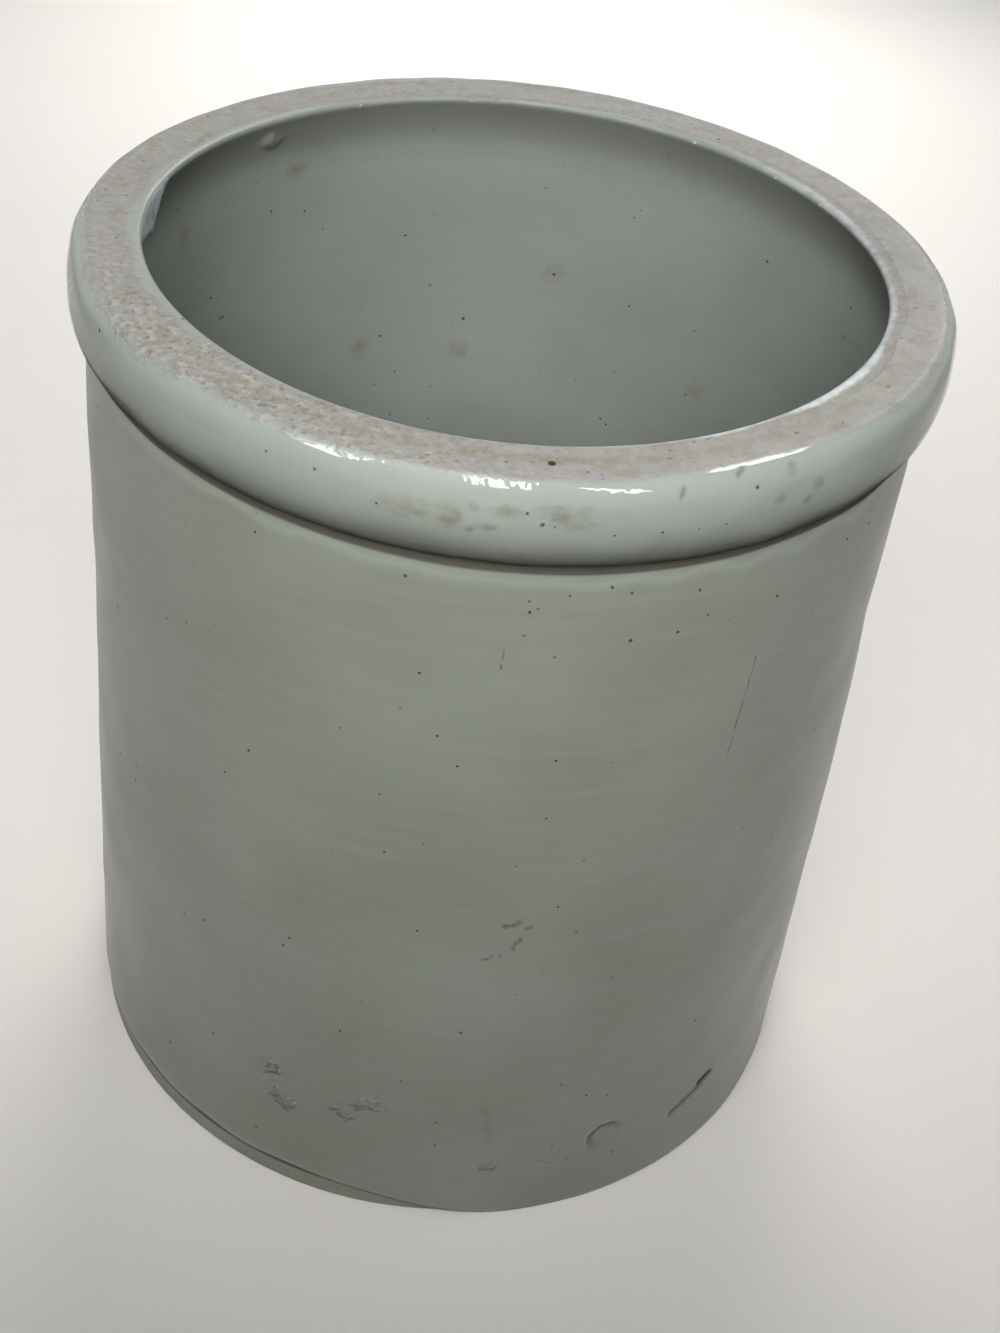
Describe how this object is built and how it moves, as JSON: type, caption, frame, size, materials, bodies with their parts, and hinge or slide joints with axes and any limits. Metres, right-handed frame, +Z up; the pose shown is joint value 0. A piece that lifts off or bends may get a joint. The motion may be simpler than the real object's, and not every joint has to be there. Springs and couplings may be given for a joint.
{
  "type": "stoneware crock",
  "caption": "Large open cylindrical stoneware crock with a thick rolled rim, bare rim land, slightly narrowed mouth and pale grey-green glaze, for storing or fermenting food.",
  "frame": {"origin": "centre of the flat underside, on the crock's axis", "axes": "+Z up along the crock's axis; +Y points away from the side shown nearest in the picture, +X to the right of it"},
  "size_m": [0.351, 0.351, 0.396],
  "materials": {
    "foot_clay": "matte, worn fired clay",
    "body_clay": "matte fired clay",
    "rim_clay": "matte, wiped bare fired clay with fine pits",
    "outside_glaze": "satin gloss grey-green glaze with pinholes",
    "roll_glaze": "glossy pale grey-green glaze with stains",
    "lining_glaze": "satin grey-green glaze with iron specks"
  },
  "bodies": {
    "root": {"base_slab": "foot_clay", "wall": "body_clay", "rim_roll": "rim_clay", "wall_glaze": "outside_glaze", "rim_glaze": "roll_glaze", "inside_glaze": "lining_glaze"}
  },
  "joints": []
}
